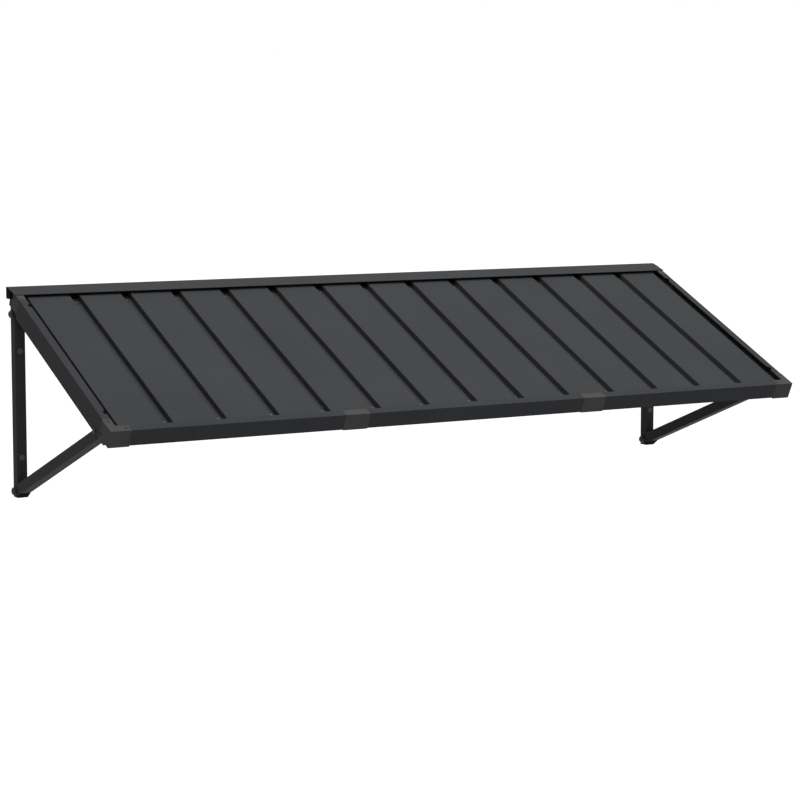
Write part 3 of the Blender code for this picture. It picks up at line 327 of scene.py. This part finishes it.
pitch = (WIDTH - 2 * EDGE_SCREW_INSET) / PANEL_COUNT
screw_places = []
for i in range(PANEL_COUNT + 1):
    at_edge = i in (0, PANEL_COUNT)
    seat = EDGE_FLANGE_TOP if at_edge else FLANGE_TOP
    for s in EDGE_ROWS if at_edge else INNER_ROWS:
        groove_x = (i - PANEL_COUNT / 2) * pitch
        screw_places.append(roof_place @ Matrix.Translation((groove_x, -s, seat)))
panel_screw = turned([
    (WASHER_RADIUS, WASHER_FOOT), (WASHER_RADIUS, WASHER_TOP - WASHER_EASE),
    (WASHER_RADIUS - WASHER_EASE, WASHER_TOP), (SCREW_HEXAGON + COLLAR_REACH, COLLAR_FOOT),
    (SCREW_HEXAGON + COLLAR_REACH / 2, COLLAR_TOP), hexagon(SCREW_HEXAGON, SCREW_HEXAGON_FOOT),
    hexagon(SCREW_HEXAGON, SCREW_TOP, SCREW_CHAMFER),
    (SCREW_HEXAGON * SCREW_FLAT_SHARE, SCREW_TOP + HEAD_CROWN)])
screw_paint = thin_skin("painted_screw_steel", SCREW_GREY, metallic=0.3, roughness=0.4)
fitted("panel_screws", panel_screw, screw_places, screw_paint)
pad = turned([
    (SCREW_HEXAGON, PAD_FOOT), (PAD_RADIUS, PAD_FOOT), (PAD_RADIUS, PAD_TOP - PAD_EASE_DOWN),
    (PAD_RADIUS - PAD_EASE_IN, PAD_TOP), (SCREW_HEXAGON, PAD_TOP)], bored=True)
rubber = thin_skin("black_rubber", RUBBER_BLACK, metallic=0.0, roughness=0.7)
fitted("panel_screw_pads", pad, screw_places, rubber)

# Front rail, in three lengths, and side rails: extrusions with a lip over the roof's edges. They
# are from the same coating line as the wall rail.
dress([f"front_rail_{part}" for part in ("left", "middle", "right")],
      extrusion_coat, EXTRUSION_EDGE, steps=2)
dress([f"side_rail_{side}" for side in SIDES], extrusion_coat, EXTRUSION_EDGE, steps=2)

# Couplers and corners: nylon mouldings that join the rails with tenons and hold the posts' heads.
# They are coloured to suit the coating, but come out a shade warmer.
MOULDING_GREY = "#595959"
MOULDING_EDGE = 0.0010

frame_nylon = moulded("grey_nylon_moulding", MOULDING_GREY, roughness=0.55, shine=0.015)
for kind in ("coupler", "corner_front", "corner_rear"):
    dress([f"{kind}_{side}" for side in SIDES], frame_nylon, MOULDING_EDGE, steps=2)

# Corner screws: steel pan heads with a cross recess, driven through the corners' lips into the
# ledges. Their grey zinc flake coating, dipped and baked, is close to the mouldings' colour.
CORNER_SCREW_GREY = "#424345"
CORNER_SCREW_HEAD = 0.0085
CORNER_SCREW_SHANK = 0.002
CORNER_SCREW_LENGTH = 0.0378
CORNER_SCREW_TIP = 0.0006
CORNER_SCREW_POINT = 0.003
CORNER_SCREW_TOP = 0.0022
RECESS_ARM = 0.0042
RECESS_HALF = 0.0007
RECESS_DEPTH = 0.0014

# The radius and height of the head's rows, from its rim to its crown.
CORNER_SCREW_CROWN = (
    (CORNER_SCREW_HEAD, 0.0), (CORNER_SCREW_HEAD, 0.0007), (0.0081, 0.0012), (0.0072, 0.0017),
    (0.0059, 0.0020), (0.0050, CORNER_SCREW_TOP), (0.0010, CORNER_SCREW_TOP))

# How far in from the roof's side, and how far down the slope, each kind stands.
CORNER_SCREW_SPOTS = {"side": (0.017, 1.003), "front": (0.065, 1.0515)}
CORNER_SCREW_SEAT = 0.0112


def carved(mesh, cutter):
    """The mesh with the cutter's shape taken away."""
    body = bpy.data.objects.new("carved", mesh)
    tool = bpy.data.objects.new("cutter", cutter)
    for helper in (body, tool):
        bpy.context.scene.collection.objects.link(helper)
    step = body.modifiers.new("recess", "BOOLEAN")
    step.operation = "DIFFERENCE"
    step.solver = "EXACT"
    step.object = tool
    graph = bpy.context.evaluated_depsgraph_get()
    made = bpy.data.meshes.new_from_object(body.evaluated_get(graph))
    bpy.data.objects.remove(body)
    bpy.data.objects.remove(tool)
    return made


def prism(outline, low, high):
    """A mesh of an outline drawn up from low to high."""
    mesh = bmesh.new()
    bottom = [mesh.verts.new((x, y, low)) for x, y in outline]
    top = [mesh.verts.new((x, y, high)) for x, y in outline]
    mesh.faces.new(bottom)
    mesh.faces.new(top)
    for i in range(len(outline)):
        j = (i + 1) % len(outline)
        mesh.faces.new((bottom[i], bottom[j], top[j], top[i]))
    bmesh.ops.recalc_face_normals(mesh, faces=mesh.faces)
    made = bpy.data.meshes.new("prism")
    mesh.to_mesh(made)
    mesh.free()
    return made


corner_pan_head = turned([
    (CORNER_SCREW_TIP, -CORNER_SCREW_LENGTH),
    (CORNER_SCREW_SHANK, CORNER_SCREW_POINT - CORNER_SCREW_LENGTH),
    (CORNER_SCREW_SHANK, 0.0), *CORNER_SCREW_CROWN])
cross = []
for x, y in ((1, 0), (0, 1), (-1, 0), (0, -1)):
    cross.append((RECESS_ARM * x + RECESS_HALF * y, RECESS_ARM * y - RECESS_HALF * x))
    cross.append((RECESS_ARM * x - RECESS_HALF * y, RECESS_ARM * y + RECESS_HALF * x))
    cross.append((RECESS_HALF * (x - y), RECESS_HALF * (x + y)))
recess = prism(cross, CORNER_SCREW_TOP - RECESS_DEPTH, CORNER_SCREW_TOP + RECESS_DEPTH)
corner_screw = carved(corner_pan_head, recess)
grey_steel = thin_skin("grey_zinc_flake_steel", CORNER_SCREW_GREY, metallic=0.3, roughness=0.4)
for spot, (inset, s) in CORNER_SCREW_SPOTS.items():
    for side, outward in SIDES.items():
        x = (WIDTH / 2 - inset) * outward
        seat = roof_place @ Matrix.Translation((x, -s, CORNER_SCREW_SEAT))
        piece = fitted(f"{spot}_pan_head_{side}", corner_screw, [seat], grey_steel)
        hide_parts(f"corner_screw_{spot}_{side}")

# Posts and struts: rectangular aluminium tubes, extruded with eased edges and coated like the
# rails. The posts are screwed to the wall, and the struts are bolted to them and the side rails.
TUBE_EDGE = 0.0012

for kind in ("post", "strut"):
    dress([f"{kind}_{side}" for side in SIDES], extrusion_coat, TUBE_EDGE, steps=2)

# Plugs over the posts' wall screws: moulded nylon buttons with a low crown, pressed into the
# tubes' holes. They are paler than the tubes.
PLUG_GREY = "#73736F"
PLUG_RADIUS = 0.0116
PLUG_STEM_RADIUS = 0.0095
PLUG_STEM = 0.010
PLUG_STEM_TIP = 0.0083
PLUG_STEM_CHAMFER = 0.0015
PLUG_TOP = 0.0014

# The radius and height of the button's rows, from its rim to its crown.
PLUG_CROWN = (
    (PLUG_RADIUS, 0.0), (PLUG_RADIUS, 0.0005), (0.0112, 0.0009), (0.0100, 0.0012),
    (PLUG_RADIUS / 2, PLUG_TOP), (PLUG_RADIUS / 8, PLUG_TOP))

plug_nylon = moulded("pale_nylon_plug", PLUG_GREY, roughness=0.45, shine=0.03)
plug = turned([
    (PLUG_STEM_TIP, -PLUG_STEM), (PLUG_STEM_RADIUS, PLUG_STEM_CHAMFER - PLUG_STEM),
    (PLUG_STEM_RADIUS, 0.0), *PLUG_CROWN])
for height in ("upper", "lower"):
    for side in SIDES:
        low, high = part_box(f"post_plug_{height}_{side}")
        seat = Matrix.Translation(((low[0] + high[0]) / 2, low[1] + PLUG_TOP, (low[2] + high[2]) / 2))
        facing_out = seat @ Matrix.Rotation(math.pi / 2, 4, "X")
        piece = fitted(f"{height}_button_{side}", plug, [facing_out], plug_nylon)
        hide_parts(f"post_plug_{height}_{side}")

# Struts' feet: black nylon mouldings like the rail's caps. Each is pressed into its strut's lower
# end, and the foot bolt holds it to the post.
FOOT_EDGE = 0.0006

# The feet share the caps' colour, whose near-black is partly painted shade.
dress([f"strut_foot_{side}" for side in SIDES], cap_nylon_and_shade, FOOT_EDGE, steps=2)

# Bolts, washers and nuts: steel dipped in dark zinc flake and baked. The foot and post bolts have
# large domed heads and end in domed nuts. The rail bolts, grey like the corner screws, have button
# heads with a hexagon socket and end in flanged nuts.
FASTENER_GREY = "#3A3B3C"

# The shank: its thread stops short of the chamfered end and fades out at the other.
BOLT_RADIUS = 0.004
BOLT_TIP_CHAMFER = 0.0006
BOLT_TIP_LENGTH = 0.0007
THREAD_PITCH = 0.00125
THREAD_DEPTH = 0.0007
THREAD_FROM = 0.0009
THREAD_TO = 0.020
THREAD_FADE = 0.0006
THREAD_STEPS = 6

# The heads: the foot's and post's knobs, the domed nuts and the rail's buttons.
HEAD_EASE = 0.0004
DOME_STEPS = 10
DOME_FLAT = 1 / 16
KNOB_RADIUS = 0.016
KNOB_RIM = 0.003
FOOT_KNOB_TOP = 0.013
POST_KNOB_TOP = 0.016
CAP_NUT_TOP = 0.020
CAP_NUT_BORE = 0.015
BUTTON_RADIUS = 0.0085
BUTTON_RIM = 0.0010
BUTTON_TOP = 0.006
SOCKET = 0.0029
SOCKET_DEPTH = 0.0032

# The flanged nut, with the radius and height of its flange's rows.
BORE = 0.0043
BORE_CHAMFER = 0.0006
FLANGE_RADIUS = 0.0119
NUT_FLANGE = (
    (FLANGE_RADIUS, 0.0), (FLANGE_RADIUS, 0.0012), (0.0114, 0.0018), (0.0089, 0.0028))
HEXAGON = 0.0085
HEXAGON_FOOT = 0.0032
HEXAGON_CHAMFER = 0.0012
NUT_FLAT_SHARE = 0.84
NUT_TOP = 0.010

# The washers' thickness, and how far their rims are eased below and above, in the bore and outside.
WASHER = 0.0025
WASHER_EASES_BELOW = (0.0002, 0.0003)
WASHER_EASES_ABOVE = (0.0003, 0.0004)


def thread(low, high):
    """Rows of a bolt's thread."""
    def ridge(height):
        def row(turn):
            share = (height / THREAD_PITCH - turn / (2 * math.pi)) % 1
            return BOLT_RADIUS - THREAD_DEPTH * abs(2 * share - 1), height
        return row
    steps = round((high - low) / THREAD_PITCH * THREAD_STEPS)
    return [ridge(low + (high - low) * i / steps) for i in range(steps + 1)]


def shank(end):
    """Rows from a bolt's end to its head's seat, threaded over its last stretch."""
    root = BOLT_RADIUS - THREAD_DEPTH
    tip = [(root - BOLT_TIP_CHAMFER, end), (root, end + BOLT_TIP_LENGTH)]
    ridges = thread(end + THREAD_FROM, end + THREAD_TO)
    return tip + ridges + [(BOLT_RADIUS, end + THREAD_TO + THREAD_FADE), (BOLT_RADIUS, 0.0)]


def dome(radius, rim, top):
    """Rows of a round head with an eased rim."""
    rows = [(radius - HEAD_EASE, 0.0), (radius, HEAD_EASE), (radius, rim)]
    for i in range(1, DOME_STEPS):
        rise = math.pi / 2 * i / DOME_STEPS
        rows.append((radius * math.cos(rise), rim + (top - rim) * math.sin(rise)))
    return rows + [(radius * DOME_FLAT, top)]


def washer(radius):
    """A stamped washer with eased rims."""
    bore_below, rim_below = WASHER_EASES_BELOW
    bore_above, rim_above = WASHER_EASES_ABOVE
    return turned([
        (BORE, bore_below), (BORE + bore_below, 0.0), (radius - rim_below, 0.0), (radius, rim_below),
        (radius, WASHER - rim_above), (radius - rim_above, WASHER), (BORE + bore_above, WASHER),
        (BORE, WASHER - bore_above)], bored=True)


def on_bolt_line(node, seat_x, outward):
    """The place on a node's middle line along X at seat_x, facing outward along X."""
    low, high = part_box(node)
    middle = Matrix.Translation((seat_x, (low[1] + high[1]) / 2, (low[2] + high[2]) / 2))
    return middle @ Matrix.Rotation(outward * math.pi / 2, 4, "Y")


socket_outline = []
for i in range(6):
    socket_outline.append((SOCKET * math.cos(math.pi / 3 * i), SOCKET * math.sin(math.pi / 3 * i)))
socket = prism(socket_outline, BUTTON_TOP - SOCKET_DEPTH, BUTTON_TOP + SOCKET_DEPTH)
flange_nut = turned([
    (BORE, 0.0), *NUT_FLANGE, hexagon(HEXAGON, HEXAGON_FOOT),
    hexagon(HEXAGON, NUT_TOP - HEAD_CROWN, HEXAGON_CHAMFER), (HEXAGON * NUT_FLAT_SHARE, NUT_TOP),
    (BORE + BORE_CHAMFER, NUT_TOP), (BORE, NUT_TOP - BORE_CHAMFER)], bored=True)
cap_nut = turned(
    [(BORE - BORE_CHAMFER, CAP_NUT_BORE), (BORE, CAP_NUT_BORE - BORE_CHAMFER), (BORE, 0.0)]
    + dome(KNOB_RADIUS, KNOB_RIM, CAP_NUT_TOP))
dark_steel = thin_skin("black_zinc_flake_steel", FASTENER_GREY, metallic=0.2, roughness=0.45)
joints = (
    ("foot", dome(KNOB_RADIUS, KNOB_RIM, FOOT_KNOB_TOP), FOOT_KNOB_TOP, cap_nut, dark_steel),
    ("post", dome(KNOB_RADIUS, KNOB_RIM, POST_KNOB_TOP), POST_KNOB_TOP, cap_nut, dark_steel),
    ("rail", dome(BUTTON_RADIUS, BUTTON_RIM, BUTTON_TOP), BUTTON_TOP, flange_nut, grey_steel),
)
for side, outward in SIDES.items():
    for joint, head, head_top, nut, bolt_steel in joints:
        bolt_name = f"{joint}_bolt_{side}"
        low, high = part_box(bolt_name)
        tip_x, end_x = (low[0], high[0]) if side == "left" else (high[0], low[0])
        seat_x = tip_x - outward * head_top
        bolt = turned(shank(-abs(seat_x - end_x)) + head)
        if joint == "rail":
            bolt = carved(bolt, socket)
        piece = fitted(f"{joint}_{side}_bolt", bolt, [on_bolt_line(bolt_name, seat_x, outward)],
                       bolt_steel)
        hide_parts(bolt_name)
        nut_name = f"{joint}_nut_{side}"
        low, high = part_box(nut_name)
        seat_x = low[0] if side == "left" else high[0]
        piece = fitted(f"{joint}_{side}_nut", nut, [on_bolt_line(nut_name, seat_x, -outward)],
                       dark_steel)
        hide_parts(nut_name)
        if joint != "post":
            washer_name = f"{joint}_washer_{side}"
            low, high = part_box(washer_name)
            seat_x = high[0] if side == "left" else low[0]
            disc = washer((high[2] - low[2]) / 2)
            piece = fitted(f"{joint}_{side}_washer", disc, [on_bolt_line(washer_name, seat_x, outward)],
                           dark_steel)
            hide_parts(washer_name)

# The ground below the canopy: a plain pale floor at the foot of the wall, as far down as it is
# below such a canopy. The camera and reflections see it as white, with the canopy's shadow.
FLOOR_DOWN = 2.7
FLOOR_REACH = 400.0
FLOOR_WHITE = "#EAEAEA"
FLOOR_LIFT = 0.8
FLOOR_WHITE_FROM = 8.0
WHITE_LIGHT = (1, 1, 1, 1)


def seen(tree):
    """1 for what the camera, a reflection or clear glass sees, and 0 for other light."""
    path = add(tree, "ShaderNodeLightPath", {})
    direct = add(tree, "ShaderNodeMath", {
        0: path.outputs["Is Camera Ray"], 1: path.outputs["Is Glossy Ray"]}, operation="MAXIMUM")
    return add(tree, "ShaderNodeMath", {
        0: direct.outputs[0], 1: path.outputs["Is Transmission Ray"]}, operation="MAXIMUM").outputs[0]


ground = bmesh.new()
bmesh.ops.create_grid(ground, x_segments=1, y_segments=1, size=FLOOR_REACH,
                      matrix=Matrix.Translation((0, 0, -FLOOR_DOWN)))
floor_mesh = bpy.data.meshes.new("floor")
ground.to_mesh(floor_mesh)
ground.free()
floor = bpy.data.objects.new("floor", floor_mesh)
bpy.context.scene.collection.objects.link(floor)
floor_paint, tree, place = blank("pale_floor")
away = add(tree, "ShaderNodeVectorMath", {0: place}, operation="LENGTH")
brightness = add(tree, "ShaderNodeMapRange", {
    "Value": away.outputs["Value"], "From Min": FLOOR_DOWN, "From Max": FLOOR_WHITE_FROM,
    "To Min": FLOOR_LIFT, "To Max": 1.0}, interpolation_type="SMOOTHSTEP")
lift = add(tree, "ShaderNodeMath", {
    0: seen(tree), 1: brightness.outputs["Result"]}, operation="MULTIPLY")
paint = add(tree, "ShaderNodeBsdfDiffuse", {"Color": linear(FLOOR_WHITE)})
glow = add(tree, "ShaderNodeEmission", {"Color": WHITE_LIGHT, "Strength": lift.outputs[0]})
painted = add(tree, "ShaderNodeAddShader", {0: paint.outputs[0], 1: glow.outputs[0]})
add(tree, "ShaderNodeOutputMaterial", {"Surface": painted.outputs[0]})
floor_mesh.materials.append(floor_paint)

# The room round the canopy: white to the camera and to reflections, so that the background is
# plain, and otherwise a dim even light.
ROOM_LIGHT = 0.12

world = bpy.data.worlds.new("pale_room")
bpy.context.scene.world = world
world.use_nodes = True
tree = world.node_tree
tree.nodes.clear()
level = add(tree, "ShaderNodeMapRange", {"Value": seen(tree), "To Min": ROOM_LIGHT, "To Max": 1.0})
room = add(tree, "ShaderNodeBackground", {"Color": WHITE_LIGHT, "Strength": level.outputs["Result"]})
add(tree, "ShaderNodeOutputWorld", {"Surface": room.outputs[0]})

# One large soft lamp overhead, 3 m in front of the wall. It lights the roof most, the front and
# the sides less, and leaves soft shadows in the grooves.
LAMP_SIZE = 8.0
LAMP_UP = 5.0
LAMP_OUT = 3.0
LAMP_POWER = 405.0

lamp_data = bpy.data.lights.new("ceiling_softbox", "AREA")
lamp_data.shape = "SQUARE"
lamp_data.size = LAMP_SIZE
lamp_data.energy = LAMP_POWER
lamp = bpy.data.objects.new("ceiling_softbox", lamp_data)
lamp.location = (0, -LAMP_OUT, LAMP_UP)
lamp.visible_glossy = False
lamp.visible_camera = False
bpy.context.scene.collection.objects.link(lamp)

# The camera stands to the left in front of the canopy and looks slightly down on it. Its place,
# turn and focal length were fitted to the canopy's straight edges in the photograph.
CAMERA_PLACE = (-4.59829, -8.34327, 0.63552)
CAMERA_TURN = -29.98282
CAMERA_TILT = 6.07242
CAMERA_SHIFT = (-0.00034, -0.03677)
CAMERA_SIGHT = 2000.0
SENSOR_WIDTH = 36.0
FOCAL_PIXELS = 2320.3
FRAME_PIXELS = 800

camera_data = bpy.data.cameras.new("camera")
camera_data.sensor_width = SENSOR_WIDTH
camera_data.lens = FOCAL_PIXELS * SENSOR_WIDTH / FRAME_PIXELS
camera_data.shift_x, camera_data.shift_y = CAMERA_SHIFT
camera_data.clip_end = CAMERA_SIGHT
camera = bpy.data.objects.new("camera", camera_data)
camera.location = CAMERA_PLACE
camera.rotation_euler = (math.radians(90 - CAMERA_TILT), 0, math.radians(CAMERA_TURN))
bpy.context.scene.collection.objects.link(camera)
bpy.context.scene.camera = camera

bpy.context.scene.view_settings.view_transform = "Standard"
